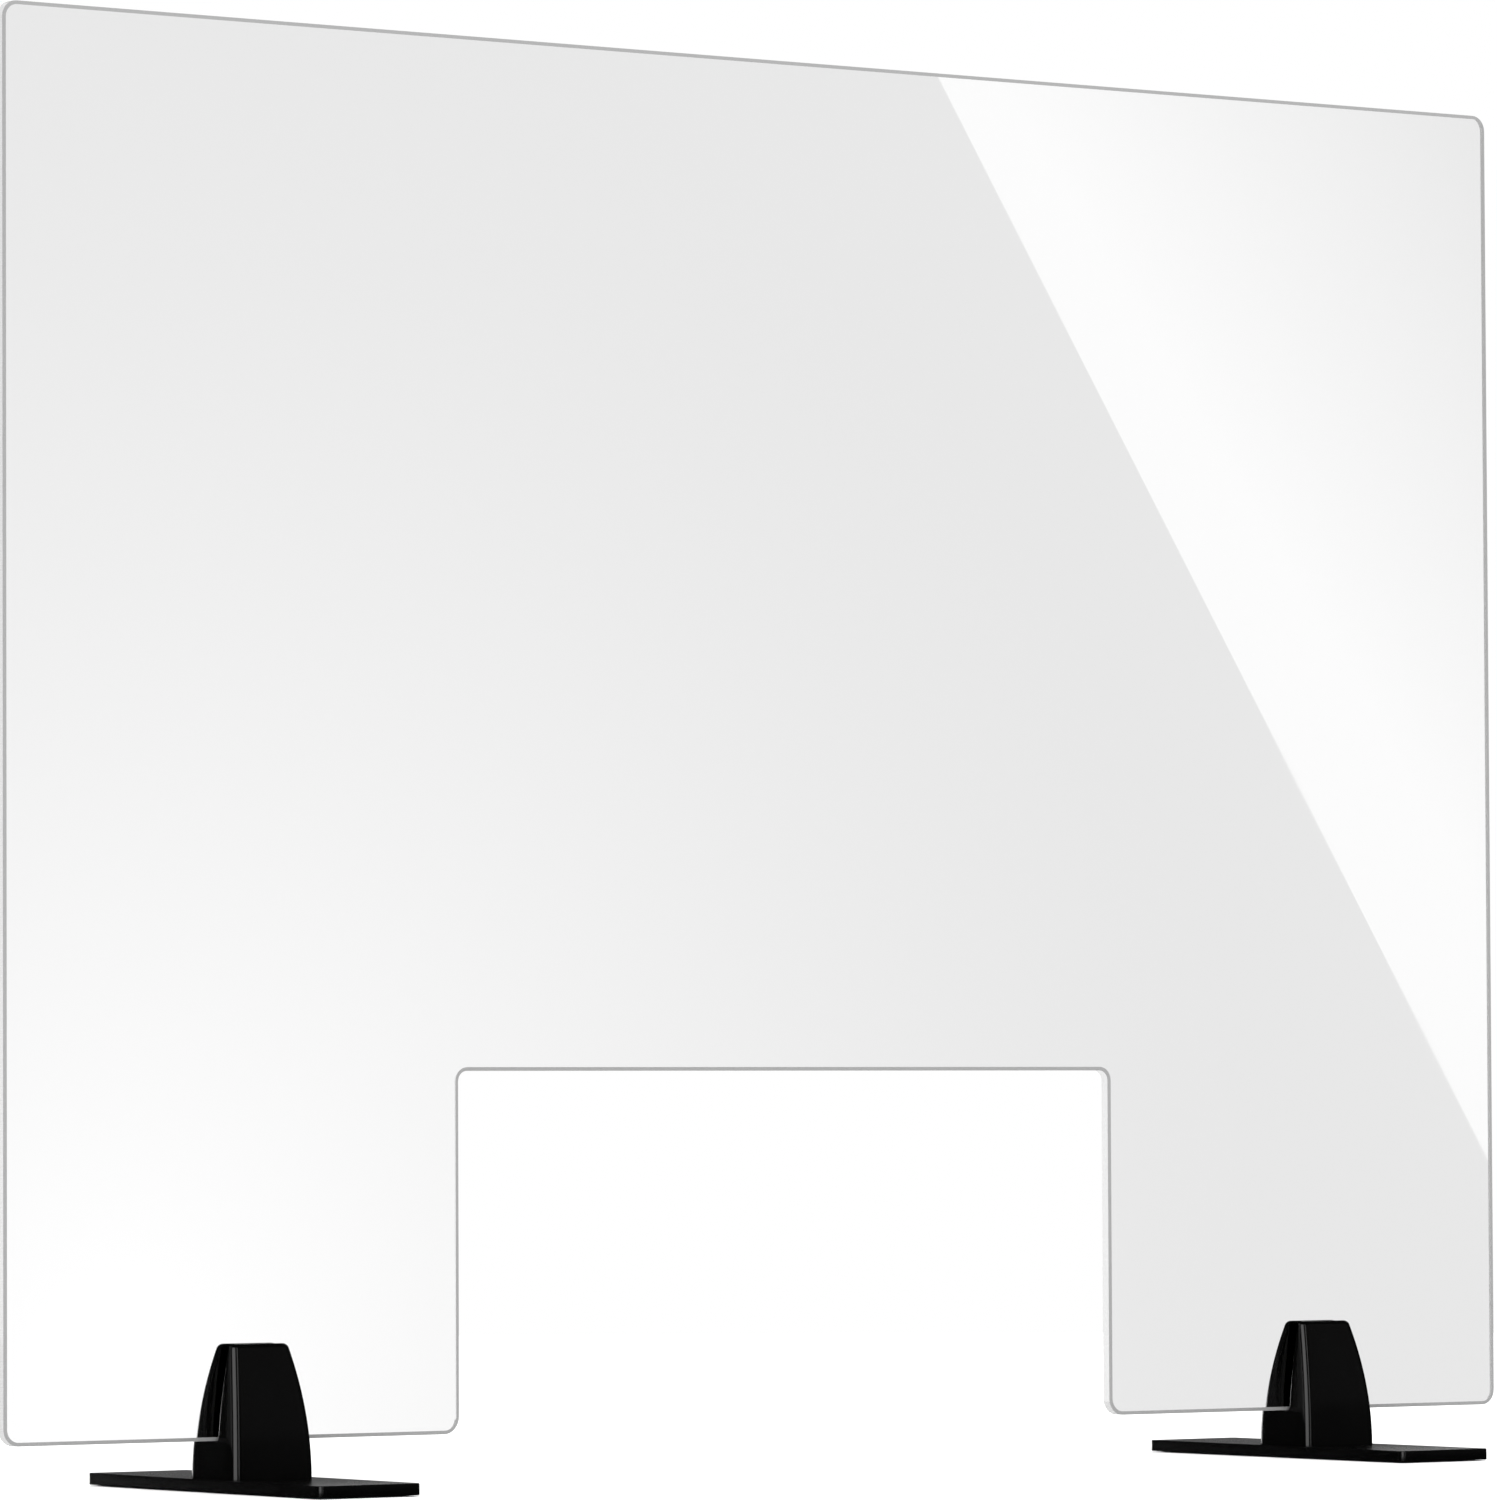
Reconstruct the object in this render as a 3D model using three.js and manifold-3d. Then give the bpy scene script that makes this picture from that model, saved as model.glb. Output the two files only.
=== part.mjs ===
// A desk privacy panel: a clear sheet with a pass-through window, standing on edge in two slotted feet.
// Millimetres, +Z up. The origin is on the desk, midway along the sheet and in its mid-plane.
// The sheet runs along X, and its front faces -Y.
import * as THREE from "three";
import { mergeVertices } from "three/addons/utils/BufferGeometryUtils.js";
import Module from "manifold-3d";

const wasm = await Module();
wasm.setup();

// The sheet and its window, which is open at the bottom.
const SHEET_WIDTH = 800;
const SHEET_HEIGHT = 600;
const SHEET_THICKNESS = 5;
const SHEET_CORNER_R = 7;
const SHEET_CHAMFER = 1;
const WINDOW_WIDTH = 350;
const WINDOW_HEIGHT = 155;
const WINDOW_TOP_R = 4.5;
const LEG_CORNER_R = 7.5;

// Where each foot stands along the sheet.
const LEFT_FOOT_X = -278;
const RIGHT_FOOT_X = 296;

// The anti-slip pads, which sit in shallow recesses under the base plate.
const PAD_R = 6;
const PAD_THICKNESS = 1.5;
const PAD_EDGE_R = 0.3;
const PAD_STANDS_PROUD = 0.5;
const PAD_INSET = 11;
const RECESS_CLEARANCE = 0.3;

// The base plate of a foot.
const PLATE_WIDTH = 50;
const PLATE_LENGTH = 185;
const PLATE_THICKNESS = 5;
const PLATE_CORNER_R = 2.5;

// The moulded upright of a foot. Its walls lean in more and more towards the top.
const UPRIGHT_HEIGHT = 56.5;
const TOP_HALF_WIDTH = 14.5;
const TOP_HALF_DEPTH = 8;
const LEAN_WIDTH = 5.5;
const LEAN_DEPTH = 10.4;
const UPRIGHT_CORNER_R = 4;
const UPRIGHT_TOP_R = 2.2;
const WALL = 2.5;
const INNER_CORNER_R = 1.5;
const CAVITY_HEIGHT = 36;

// The slot that holds the sheet, a little wider at its mouth than at its floor. Ribs inside it grip the sheet,
// and their tops lean back to lead the sheet in.
const SLOT_FLOOR_HEIGHT = 16;
const SLOT_FLOOR_GAP = 8.6;
const SLOT_MOUTH_GAP = 10.4;
const GRIP_GAP = 5.6;
const GRIP_HEIGHT = 25;
const GRIP_LEAD_IN = 8;
const GRIP_RIB_WIDTH = 2;
const GRIP_RIB_SPACING = 18;
const GRIP_RIB_ROOT = 0.5;

// The screws that hold the upright down, driven up through the plate into bosses.
const SCREW_SPACING = 22;
const SCREW_SHANK_R = 1.7;
const SCREW_HEAD_R = 3.8;
const SCREW_HEAD_HEIGHT = 2.3;
const SCREW_LENGTH = 15;
const SCREW_TIP_LENGTH = 2.5;
const SCREW_SINK = 0.3;
const SCREW_CLEARANCE = 0.3;
const DRIVE_HALF_SPAN = 1.9;
const DRIVE_SLOT_WIDTH = 0.9;
const DRIVE_DEPTH = 1.4;
const BOSS_R = 4.2;
const RIB_THICKNESS = 1.5;
const RIB_CLEAR_OF_PLATE = 3;

// Heights above the desk.
const PLATE_BOTTOM = PAD_STANDS_PROUD;
const PLATE_TOP = PLATE_BOTTOM + PLATE_THICKNESS;
const SLOT_FLOOR = PLATE_TOP + SLOT_FLOOR_HEIGHT;
const UPRIGHT_TOP = PLATE_TOP + UPRIGHT_HEIGHT;

const ARC_SEGMENTS = 4;
const ROUND_SEGMENTS = 20;
const CUT_THROUGH = 1;

const materials = {
  acrylic: { color: 0xe6ecec, roughness: 0.04, metalness: 0, transparent: true, opacity: 0.3 },
  glossBlack: { color: 0x0c0c0d, roughness: 0.14, metalness: 0 },
  blackPowderCoat: { color: 0x0e0e0f, roughness: 0.24, metalness: 0 },
  zincedSteel: { color: 0xb4b6b8, roughness: 0.32, metalness: 1 },
  rubber: { color: 0x1b1b1c, roughness: 0.9, metalness: 0 },
};

function solidOf(geometry) {
  const bare = geometry.clone();
  bare.deleteAttribute("normal");
  bare.deleteAttribute("uv");
  const merged = mergeVertices(bare, 1e-3);
  const vertProperties = merged.attributes.position.array;
  const triVerts = new Uint32Array(merged.index.array);
  return new wasm.Manifold(new wasm.Mesh({ numProp: 3, vertProperties, triVerts }));
}

function geometryOf(solid) {
  const { vertProperties, triVerts } = solid.getMesh();
  const geometry = new THREE.BufferGeometry();
  geometry.setAttribute("position", new THREE.BufferAttribute(vertProperties, 3));
  geometry.setIndex(new THREE.BufferAttribute(triVerts, 1));
  geometry.computeVertexNormals();
  return geometry;
}

// A closed mesh, named for its node.
function piece(name, solid, material) {
  const mesh = new THREE.Mesh(geometryOf(solid), new THREE.MeshStandardMaterial(material));
  mesh.name = name;
  return mesh;
}

function boxSolid(width, depth, height, x, y, z) {
  return solidOf(new THREE.BoxGeometry(width, depth, height).translate(x, y, z));
}

// A solid turned about Z from [radius, height] points that start and end on the axis.
function turned(points, x = 0, y = 0, z = 0) {
  const profile = points.map(([radius, height]) => new THREE.Vector2(radius, height));
  const geometry = new THREE.LatheGeometry(profile, ROUND_SEGMENTS);
  return solidOf(geometry.rotateX(Math.PI / 2).translate(x, y, z));
}

function roundedRectangle(width, depth, radius) {
  const x = width / 2;
  const y = depth / 2;
  const shape = new THREE.Shape();
  shape.absarc(x - radius, y - radius, radius, 0, Math.PI / 2);
  shape.absarc(radius - x, y - radius, radius, Math.PI / 2, Math.PI);
  shape.absarc(radius - x, radius - y, radius, Math.PI, 1.5 * Math.PI);
  shape.absarc(x - radius, radius - y, radius, 1.5 * Math.PI, 2 * Math.PI);
  return shape;
}

// Half the width and half the depth of the upright's outside, at a height above the plate.
function uprightHalfSize(height) {
  const lean = 1 - (height / UPRIGHT_HEIGHT) ** 2;
  const intoRound = Math.max(0, height - (UPRIGHT_HEIGHT - UPRIGHT_TOP_R));
  const roundInset = UPRIGHT_TOP_R - Math.sqrt(UPRIGHT_TOP_R ** 2 - Math.min(intoRound, UPRIGHT_TOP_R) ** 2);
  return [
    TOP_HALF_WIDTH + LEAN_WIDTH * lean - roundInset,
    TOP_HALF_DEPTH + LEAN_DEPTH * lean - roundInset,
  ];
}

// A rounded block that follows the upright's outside, inset by a wall, through a list of heights.
function leaningBlock(heights, inset, cornerR) {
  const halfSize = (height) => uprightHalfSize(Math.max(0, height)).map((half) => half - inset);
  const [baseX, baseY] = halfSize(heights[0]);
  const steps = heights.length - 1;
  const geometry = new THREE.ExtrudeGeometry(roundedRectangle(2 * baseX, 2 * baseY, cornerR), {
    depth: steps,
    steps,
    bevelEnabled: false,
    curveSegments: ARC_SEGMENTS,
  });
  const position = geometry.attributes.position;
  for (let i = 0; i < position.count; i++) {
    const height = heights[Math.round(position.getZ(i))];
    const [halfX, halfY] = halfSize(height);
    const x = position.getX(i);
    const y = position.getY(i);
    position.setXYZ(
      i,
      x - Math.sign(x) * (baseX - halfX),
      y - Math.sign(y) * (baseY - halfY),
      PLATE_TOP + height,
    );
  }
  return solidOf(geometry);
}

// Evenly spaced heights from low to high, both included.
function spaced(low, high, steps) {
  return Array.from({ length: steps + 1 }, (_, i) => low + ((high - low) * i) / steps);
}

// Heights up the round at the top of the upright, at even steps of its angle.
function topRoundHeights(steps) {
  return spaced(0, Math.PI / 2, steps)
    .slice(1)
    .map((angle) => UPRIGHT_HEIGHT - UPRIGHT_TOP_R + UPRIGHT_TOP_R * Math.sin(angle));
}

// Half the slot's gap at a height above the desk.
function slotHalfGap(z) {
  const flare = (SLOT_MOUTH_GAP - SLOT_FLOOR_GAP) / (UPRIGHT_TOP - SLOT_FLOOR);
  return (SLOT_FLOOR_GAP + flare * (z - SLOT_FLOOR)) / 2;
}

// A section of [y, z] points drawn out along X, with its middle at x.
function alongX(points, length, x) {
  const section = new THREE.Shape(points.map(([y, z]) => new THREE.Vector2(y, z)));
  const geometry = new THREE.ExtrudeGeometry(section, { depth: length, bevelEnabled: false });
  geometry.translate(0, 0, -length / 2).rotateX(Math.PI / 2).rotateZ(Math.PI / 2);
  return solidOf(geometry.translate(x, 0, 0));
}

// The slot's space, or with a wall round it the part of the moulding that lines the slot.
function slotSpace(wall) {
  const floor = SLOT_FLOOR - wall;
  const mouth = UPRIGHT_TOP + CUT_THROUGH;
  const floorHalf = slotHalfGap(floor) + wall;
  const mouthHalf = slotHalfGap(mouth) + wall;
  const section = [
    [-floorHalf, floor],
    [floorHalf, floor],
    [mouthHalf, mouth],
    [-mouthHalf, mouth],
  ];
  return alongX(section, 2 * (TOP_HALF_WIDTH + LEAN_WIDTH + CUT_THROUGH), 0);
}

// One grip rib, on the side of the slot that side names, -1 in front of the sheet and 1 behind it.
function gripRib(side, x) {
  const floor = SLOT_FLOOR - GRIP_RIB_ROOT;
  const gripTop = SLOT_FLOOR + GRIP_HEIGHT;
  const leadTop = gripTop + GRIP_LEAD_IN;
  const section = [
    [(side * GRIP_GAP) / 2, floor],
    [side * (slotHalfGap(floor) + GRIP_RIB_ROOT), floor],
    [side * (slotHalfGap(leadTop) + GRIP_RIB_ROOT), leadTop],
    [side * slotHalfGap(leadTop), leadTop],
    [(side * GRIP_GAP) / 2, gripTop],
  ];
  return alongX(section, GRIP_RIB_WIDTH, x);
}

function acrylicPanel() {
  const right = SHEET_WIDTH / 2;
  const opening = WINDOW_WIDTH / 2;
  const c = SHEET_CORNER_R;
  const w = WINDOW_TOP_R;
  const leg = LEG_CORNER_R;
  const outline = new THREE.Shape();
  outline.absarc(c - right, c, c, Math.PI, 1.5 * Math.PI);
  outline.absarc(-opening - leg, leg, leg, 1.5 * Math.PI, 2 * Math.PI);
  outline.absarc(w - opening, WINDOW_HEIGHT - w, w, Math.PI, Math.PI / 2, true);
  outline.absarc(opening - w, WINDOW_HEIGHT - w, w, Math.PI / 2, 0, true);
  outline.absarc(opening + leg, leg, leg, Math.PI, 1.5 * Math.PI);
  outline.absarc(right - c, c, c, 1.5 * Math.PI, 2 * Math.PI);
  outline.absarc(right - c, SHEET_HEIGHT - c, c, 0, Math.PI / 2);
  outline.absarc(c - right, SHEET_HEIGHT - c, c, Math.PI / 2, Math.PI);
  const geometry = new THREE.ExtrudeGeometry(outline, {
    depth: SHEET_THICKNESS - 2 * SHEET_CHAMFER,
    bevelThickness: SHEET_CHAMFER,
    bevelSize: SHEET_CHAMFER,
    bevelOffset: -SHEET_CHAMFER,
    bevelSegments: 1,
    curveSegments: ARC_SEGMENTS,
  });
  geometry.translate(0, 0, SHEET_CHAMFER - SHEET_THICKNESS / 2).rotateX(Math.PI / 2);
  return piece("acrylic_panel", solidOf(geometry.translate(0, 0, SLOT_FLOOR)), materials.acrylic);
}

// Each screw's offset from the middle of the upright, by its place.
function screwPlaces(outward) {
  return {
    outer: (outward * SCREW_SPACING) / 2,
    inner: (-outward * SCREW_SPACING) / 2,
  };
}

// Each pad's offset from the middle of the plate, by its place.
function padPlaces(outward) {
  const x = PLATE_WIDTH / 2 - PAD_INSET;
  const y = PLATE_LENGTH / 2 - PAD_INSET;
  return {
    front_outer: [outward * x, -y],
    front_inner: [-outward * x, -y],
    rear_outer: [outward * x, y],
    rear_inner: [-outward * x, y],
  };
}

function basePlate(name, outward) {
  const outline = roundedRectangle(PLATE_WIDTH, PLATE_LENGTH, PLATE_CORNER_R);
  const slab = new THREE.ExtrudeGeometry(outline, {
    depth: PLATE_THICKNESS,
    bevelEnabled: false,
    curveSegments: ARC_SEGMENTS,
  });
  let solid = solidOf(slab.translate(0, 0, PLATE_BOTTOM));
  const holeR = SCREW_SHANK_R + SCREW_CLEARANCE;
  const sinkR = SCREW_HEAD_R + SCREW_CLEARANCE;
  const sinkTop = SCREW_SINK + SCREW_HEAD_HEIGHT;
  for (const x of Object.values(screwPlaces(outward))) {
    const hole = [
      [0, -CUT_THROUGH],
      [sinkR, -CUT_THROUGH],
      [sinkR, SCREW_SINK],
      [holeR, sinkTop],
      [holeR, PLATE_THICKNESS + CUT_THROUGH],
      [0, PLATE_THICKNESS + CUT_THROUGH],
    ];
    solid = solid.subtract(turned(hole, x, 0, PLATE_BOTTOM));
  }
  const recessR = PAD_R + RECESS_CLEARANCE;
  for (const [x, y] of Object.values(padPlaces(outward))) {
    const recess = [
      [0, -CUT_THROUGH],
      [recessR, -CUT_THROUGH],
      [recessR, PAD_THICKNESS],
      [0, PAD_THICKNESS],
    ];
    solid = solid.subtract(turned(recess, x, y, 0));
  }
  return piece(name, solid, materials.blackPowderCoat);
}

// The upright is a thin-walled moulding, open underneath, with the slot across its top.
function upright(name, outward) {
  const outside = leaningBlock(
    [...spaced(0, UPRIGHT_HEIGHT - UPRIGHT_TOP_R, 9), ...topRoundHeights(4)],
    0,
    UPRIGHT_CORNER_R,
  );
  const inside = leaningBlock([-CUT_THROUGH, ...spaced(0, CAVITY_HEIGHT, 5)], WALL, INNER_CORNER_R);
  const roof = SLOT_FLOOR - WALL;
  let solid = outside.subtract(inside.subtract(slotSpace(WALL)));
  const bossTop = SLOT_FLOOR_HEIGHT - WALL / 2;
  const ribBottom = PLATE_TOP + RIB_CLEAR_OF_PLATE;
  const ribHeight = roof + WALL / 2 - ribBottom;
  const ribLength = 2 * (TOP_HALF_WIDTH + LEAN_WIDTH - WALL / 2 - CUT_THROUGH);
  solid = solid.add(boxSolid(ribLength, RIB_THICKNESS, ribHeight, 0, 0, ribBottom + ribHeight / 2));
  for (const x of Object.values(screwPlaces(outward))) {
    const boss = [
      [0, 0],
      [BOSS_R, 0],
      [BOSS_R, bossTop],
      [0, bossTop],
    ];
    const pilotR = SCREW_SHANK_R + SCREW_CLEARANCE;
    const pilotTop = SCREW_SINK + SCREW_LENGTH + SCREW_CLEARANCE;
    const pilot = [
      [0, -CUT_THROUGH],
      [pilotR, -CUT_THROUGH],
      [pilotR, pilotTop],
      [0, pilotTop],
    ];
    solid = solid.add(turned(boss, x, 0, PLATE_TOP)).subtract(turned(pilot, x, 0, PLATE_BOTTOM));
  }
  solid = solid.subtract(slotSpace(0));
  for (const side of [-1, 1]) {
    for (const x of [-GRIP_RIB_SPACING / 2, GRIP_RIB_SPACING / 2]) {
      solid = solid.add(gripRib(side, x));
    }
  }
  return piece(name, solid, materials.glossBlack);
}

// A countersunk screw with a cross recess, standing on its head.
function screw(name, x) {
  const shankEnd = SCREW_LENGTH - SCREW_TIP_LENGTH;
  const profile = [
    [0, 0],
    [SCREW_HEAD_R, 0],
    [SCREW_SHANK_R, SCREW_HEAD_HEIGHT],
    [SCREW_SHANK_R, shankEnd],
    [0, SCREW_LENGTH],
  ];
  const head = PLATE_BOTTOM + SCREW_SINK;
  let solid = turned(profile, x, 0, head);
  for (const [spanX, spanY] of [[1, 0], [0, 1]]) {
    const width = 2 * DRIVE_HALF_SPAN * spanX + DRIVE_SLOT_WIDTH * spanY;
    const depth = 2 * DRIVE_HALF_SPAN * spanY + DRIVE_SLOT_WIDTH * spanX;
    solid = solid.subtract(boxSolid(width, depth, 2 * DRIVE_DEPTH, x, 0, head));
  }
  return piece(name, solid, materials.zincedSteel);
}

function pad(name, x, y) {
  const rounded = PAD_R - PAD_EDGE_R;
  const profile = [
    [0, 0],
    [rounded, 0],
    [PAD_R, PAD_EDGE_R],
    [PAD_R, PAD_THICKNESS],
    [0, PAD_THICKNESS],
  ];
  return piece(name, turned(profile, x, y, 0), materials.rubber);
}

// A whole foot. outward is -1 on the left and 1 on the right, away from the middle of the sheet.
function foot(side, outward, footX) {
  const group = new THREE.Group();
  group.position.x = footX;
  group.add(basePlate(`${side}_base_plate`, outward));
  group.add(upright(`${side}_upright`, outward));
  for (const [place, x] of Object.entries(screwPlaces(outward))) {
    group.add(screw(`${side}_screw_${place}`, x));
  }
  for (const [place, [x, y]] of Object.entries(padPlaces(outward))) {
    group.add(pad(`${side}_pad_${place}`, x, y));
  }
  return group;
}

const deskPrivacyPanel = new THREE.Group();
deskPrivacyPanel.add(acrylicPanel());
deskPrivacyPanel.add(foot("left", -1, LEFT_FOOT_X));
deskPrivacyPanel.add(foot("right", 1, RIGHT_FOOT_X));

export default deskPrivacyPanel;
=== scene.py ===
"""The looks of a desk privacy panel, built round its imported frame. Metres, +Z up, in the frame's own axes."""

import math

import bmesh
import bpy
import numpy as np
from mathutils import Matrix, Vector

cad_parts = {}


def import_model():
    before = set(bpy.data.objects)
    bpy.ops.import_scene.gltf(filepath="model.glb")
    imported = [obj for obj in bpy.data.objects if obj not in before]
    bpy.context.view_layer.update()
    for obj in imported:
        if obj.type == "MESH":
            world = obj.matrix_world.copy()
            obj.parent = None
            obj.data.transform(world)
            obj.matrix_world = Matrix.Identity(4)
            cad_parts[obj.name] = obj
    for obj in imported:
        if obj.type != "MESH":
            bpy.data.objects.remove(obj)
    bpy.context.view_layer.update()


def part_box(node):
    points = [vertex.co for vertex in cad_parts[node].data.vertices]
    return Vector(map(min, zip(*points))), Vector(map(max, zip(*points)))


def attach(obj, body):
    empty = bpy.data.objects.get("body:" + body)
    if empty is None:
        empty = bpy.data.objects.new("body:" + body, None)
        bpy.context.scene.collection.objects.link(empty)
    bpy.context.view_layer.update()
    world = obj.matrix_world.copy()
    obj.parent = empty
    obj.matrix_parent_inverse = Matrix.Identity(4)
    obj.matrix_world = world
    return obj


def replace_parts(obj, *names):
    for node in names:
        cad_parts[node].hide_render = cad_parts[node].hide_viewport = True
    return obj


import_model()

MM = 0.001

# The camera stands low, in front of the panel and well to its left, with a long lens.
CAMERA_PLACE = Vector((-2.274, -3.191, 0.1565))
CAMERA_YAW = math.radians(-35.229)
CAMERA_PITCH = math.radians(2.354)
CAMERA_ROLL = math.radians(-0.25)
CAMERA_LENS = 213.9

# The sheet, and its window, which is open at the bottom.
SHEET_LOW, SHEET_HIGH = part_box("acrylic_panel")
SHEET_CORNER_R = 7 * MM
FRONT_BEVEL = (1.6 * MM, 0.3 * MM)
BACK_BEVEL = (0.3 * MM, 0.3 * MM)
WINDOW_HALF_WIDTH = 175 * MM
WINDOW_HEIGHT = 155 * MM
WINDOW_TOP_R = 4.5 * MM
WINDOW_EDGE_MARGIN = 0.1
LEG_CORNER_R = 7.5 * MM

# The base plates.
PLATE_THICKNESS = 5 * MM
PLATE_CORNER_R = 2.5 * MM
PLATE_EDGE_R = 0.45 * MM

# The uprights. Heights in this block are above the plate.
UPRIGHT_HEIGHT = 56.5 * MM
TOP_HALF_WIDTH = 14.5 * MM
TOP_HALF_DEPTH = 8 * MM
LEAN_WIDTH = 5.5 * MM
LEAN_DEPTH = 10.4 * MM
UPRIGHT_CORNER_R = 4 * MM
UPRIGHT_TOP_R = 1.9 * MM
WALL = 2.5 * MM
CAVITY_HEIGHT = 36 * MM
SLOT_FLOOR = 16 * MM
SLOT_FLOOR_HALF_GAP = 4.3 * MM
SLOT_MOUTH_HALF_GAP = 5.2 * MM
SLOT_EDGE_R = 0.35 * MM
SLOT_FACET_WIDTH = 0.85 * MM
SLOT_FACET_ANGLE = math.radians(18)
SLOT_FACET_RISE = 1.5 * MM
SLOT_ROOT_R = 0.6 * MM
GRIP_HALF_GAP = 2.8 * MM
GRIP_TOP = SLOT_FLOOR + 25 * MM
GRIP_LEAD_TOP = GRIP_TOP + 8 * MM
GRIP_RIB_SIDES = (8 * MM, 10 * MM)
WEB_HALF_THICKNESS = 0.75 * MM
WEB_BOTTOM = 3 * MM
SEAM_HEIGHT = 0.07 * MM
SEAM_WIDTH = 0.14 * MM

# The screws and the bosses that they bite into.
SCREW_SPACING = 22 * MM
SCREW_SHANK_R = 1.35 * MM
SCREW_THREAD_R = 1.7 * MM
SCREW_HEAD_R = 3.8 * MM
SCREW_HEAD_HEIGHT = 2.3 * MM
SCREW_LENGTH = 15 * MM
SCREW_TIP_LENGTH = 2.5 * MM
SCREW_PITCH = 1.3 * MM
SCREW_SINK = 0.3 * MM
SCREW_RIM = 0.2 * MM
DRIVE_HALF_SPAN = 1.9 * MM
DRIVE_HALF_WIDTH = 0.45 * MM
DRIVE_DEPTH = 1.4 * MM
DRIVE_FLARE = 1.3
DRIVE_TAPER = 0.55
BOSS_R = 4.2 * MM
CLEARANCE = 0.3 * MM

# The anti-slip pads.
PAD_R = 6 * MM
PAD_THICKNESS = 1.5 * MM
PAD_INSET = 11 * MM
PAD_EDGE_R = 0.3 * MM
PAD_GROOVES = (1.4 * MM, 2.6 * MM, 3.8 * MM)
PAD_GROOVE_HALF_WIDTH = 0.25 * MM
PAD_GROOVE_FLOOR = 0.4
PAD_GROOVE_DEPTH = 0.2 * MM

ROUND_SEGMENTS = 64
ARC_SEGMENTS = 8
PLATE_EDGE_SEGMENTS = 4
SCREW_SIDES = 32
THREAD_STEPS = 8
SHARP_ANGLE = math.radians(35)

# The cards behind the sheet are painted light: they glow, and only the view through the sheet sees them.
# A place on a card is given by the place on the sheet that the camera sees it through, as x and the height
# above the sheet's bottom. Tones are on the scale where white is 1.
CARD_Y = 3.0
GLOW_CARD_Y = CARD_Y + 0.3
SHEET_TONE = 0.807
GLOW_CENTRE = (-0.34, 0.02)
GLOW_RADIUS = 0.6
GLOW_FADE = 1.6
PAINTED_GLOW_TONE = 0.22
GLOW_SIDES = 48
SLANT_TOP = (0.083, 0.600)
SLANT_BOTTOM = (0.3875, 0.130)
WINDOW_CARD_RIGHT = 1.2
WINDOW_CARD_ABOVE = 0.5
WINDOW_CARD_BELOW = 0.3
WINDOW_FADE_PLACE = (0.390, 0.555)
WINDOW_FADE_WAY = (-0.567, -0.432)
WINDOW_FADE_SPAN = (-0.032, 0.135)
PAINTED_LIGHT_TONE = 0.167

# The rest of the studio.
SOFTBOX_DISTANCE = 9.0
SOFTBOX_COLUMNS, SOFTBOX_ROWS = 12, 6
DIM_LEVEL = 0.015
FLOOR_RADIUS = 2.5
FLOOR_SIDES = 96
OVERHEAD_SIZE = 3.0
OVERHEAD_HEIGHT = 3
OVERHEAD_POWER = 90


def smooth(obj):
    """Shades every face smooth but the ones with more than four sides, which are the large flat ones."""
    obj.data.set_sharp_from_angle(angle=SHARP_ANGLE)
    for face in obj.data.polygons:
        face.use_smooth = len(face.vertices) <= 4
    return obj


def mesh_object(name, points, faces, materials=(), face_materials=None):
    mesh = bpy.data.meshes.new(name)
    mesh.from_pydata([tuple(p) for p in points], [], faces)
    for material in materials:
        mesh.materials.append(material)
    if face_materials is not None:
        mesh.polygons.foreach_set("material_index", face_materials)
    mesh.update()
    obj = bpy.data.objects.new(name, mesh)
    bpy.context.scene.collection.objects.link(obj)
    return obj


def arc(centre_a, centre_b, radius, start, end, segments=ARC_SEGMENTS):
    """Points on an arc, from one angle to the other in degrees."""
    angles = [math.radians(start + (end - start) * i / segments) for i in range(segments + 1)]
    return [(centre_a + radius * math.cos(t), centre_b + radius * math.sin(t)) for t in angles]


def circle(sides):
    """Angles that go once round, in radians."""
    return [2 * math.pi * i / sides for i in range(sides)]


def rounded_rectangle(half_a, half_b, radius, inset):
    a, b, r = half_a - radius, half_b - radius, radius - inset
    return (
        arc(a, b, r, 0, 90)
        + arc(-a, b, r, 90, 180)
        + arc(-a, -b, r, 180, 270)
        + arc(a, -b, r, 270, 360)
    )


def sheet_outline(inset):
    """The sheet's outline as (x, z) points, counterclockwise seen from the front."""
    right = SHEET_HIGH.x - SHEET_CORNER_R
    low = SHEET_LOW.z + SHEET_CORNER_R
    high = SHEET_HIGH.z - SHEET_CORNER_R
    corner = SHEET_CORNER_R - inset
    leg = WINDOW_HALF_WIDTH + LEG_CORNER_R
    leg_low = SHEET_LOW.z + LEG_CORNER_R
    leg_corner = LEG_CORNER_R - inset
    window = WINDOW_HALF_WIDTH - WINDOW_TOP_R
    window_high = SHEET_LOW.z + WINDOW_HEIGHT - WINDOW_TOP_R
    window_corner = WINDOW_TOP_R + inset
    return (
        arc(-right, low, corner, 180, 270)
        + arc(-leg, leg_low, leg_corner, 270, 360)
        + arc(-window, window_high, window_corner, 180, 90)
        + arc(window, window_high, window_corner, 90, 0)
        + arc(leg, leg_low, leg_corner, 180, 270)
        + arc(right, low, corner, 270, 360)
        + arc(right, high, corner, 0, 90)
        + arc(-right, high, corner, 90, 180)
    )


def slab(name, outline, profile, place, materials, band_materials):
    """A slab with a shaped edge. profile lists (inset, depth) from one face to the other, and place puts a
    point in space. band_materials gives the material of the first face, of each band of the edge and of the
    last face."""
    loops = [[place(a, b, depth) for a, b in outline(inset)] for inset, depth in profile]
    count = len(loops[0])
    points = [p for loop in loops for p in loop]
    faces = [tuple(range(count))]
    which = [band_materials[0]]
    for band in range(len(loops) - 1):
        for i in range(count):
            j = (i + 1) % count
            low, high = band * count, (band + 1) * count
            faces.append((low + j, low + i, high + i, high + j))
            which.append(band_materials[band + 1])
    last = (len(loops) - 1) * count
    faces.append(tuple(last + i for i in reversed(range(count))))
    which.append(band_materials[-1])
    return mesh_object(name, points, faces, materials, which)


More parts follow.
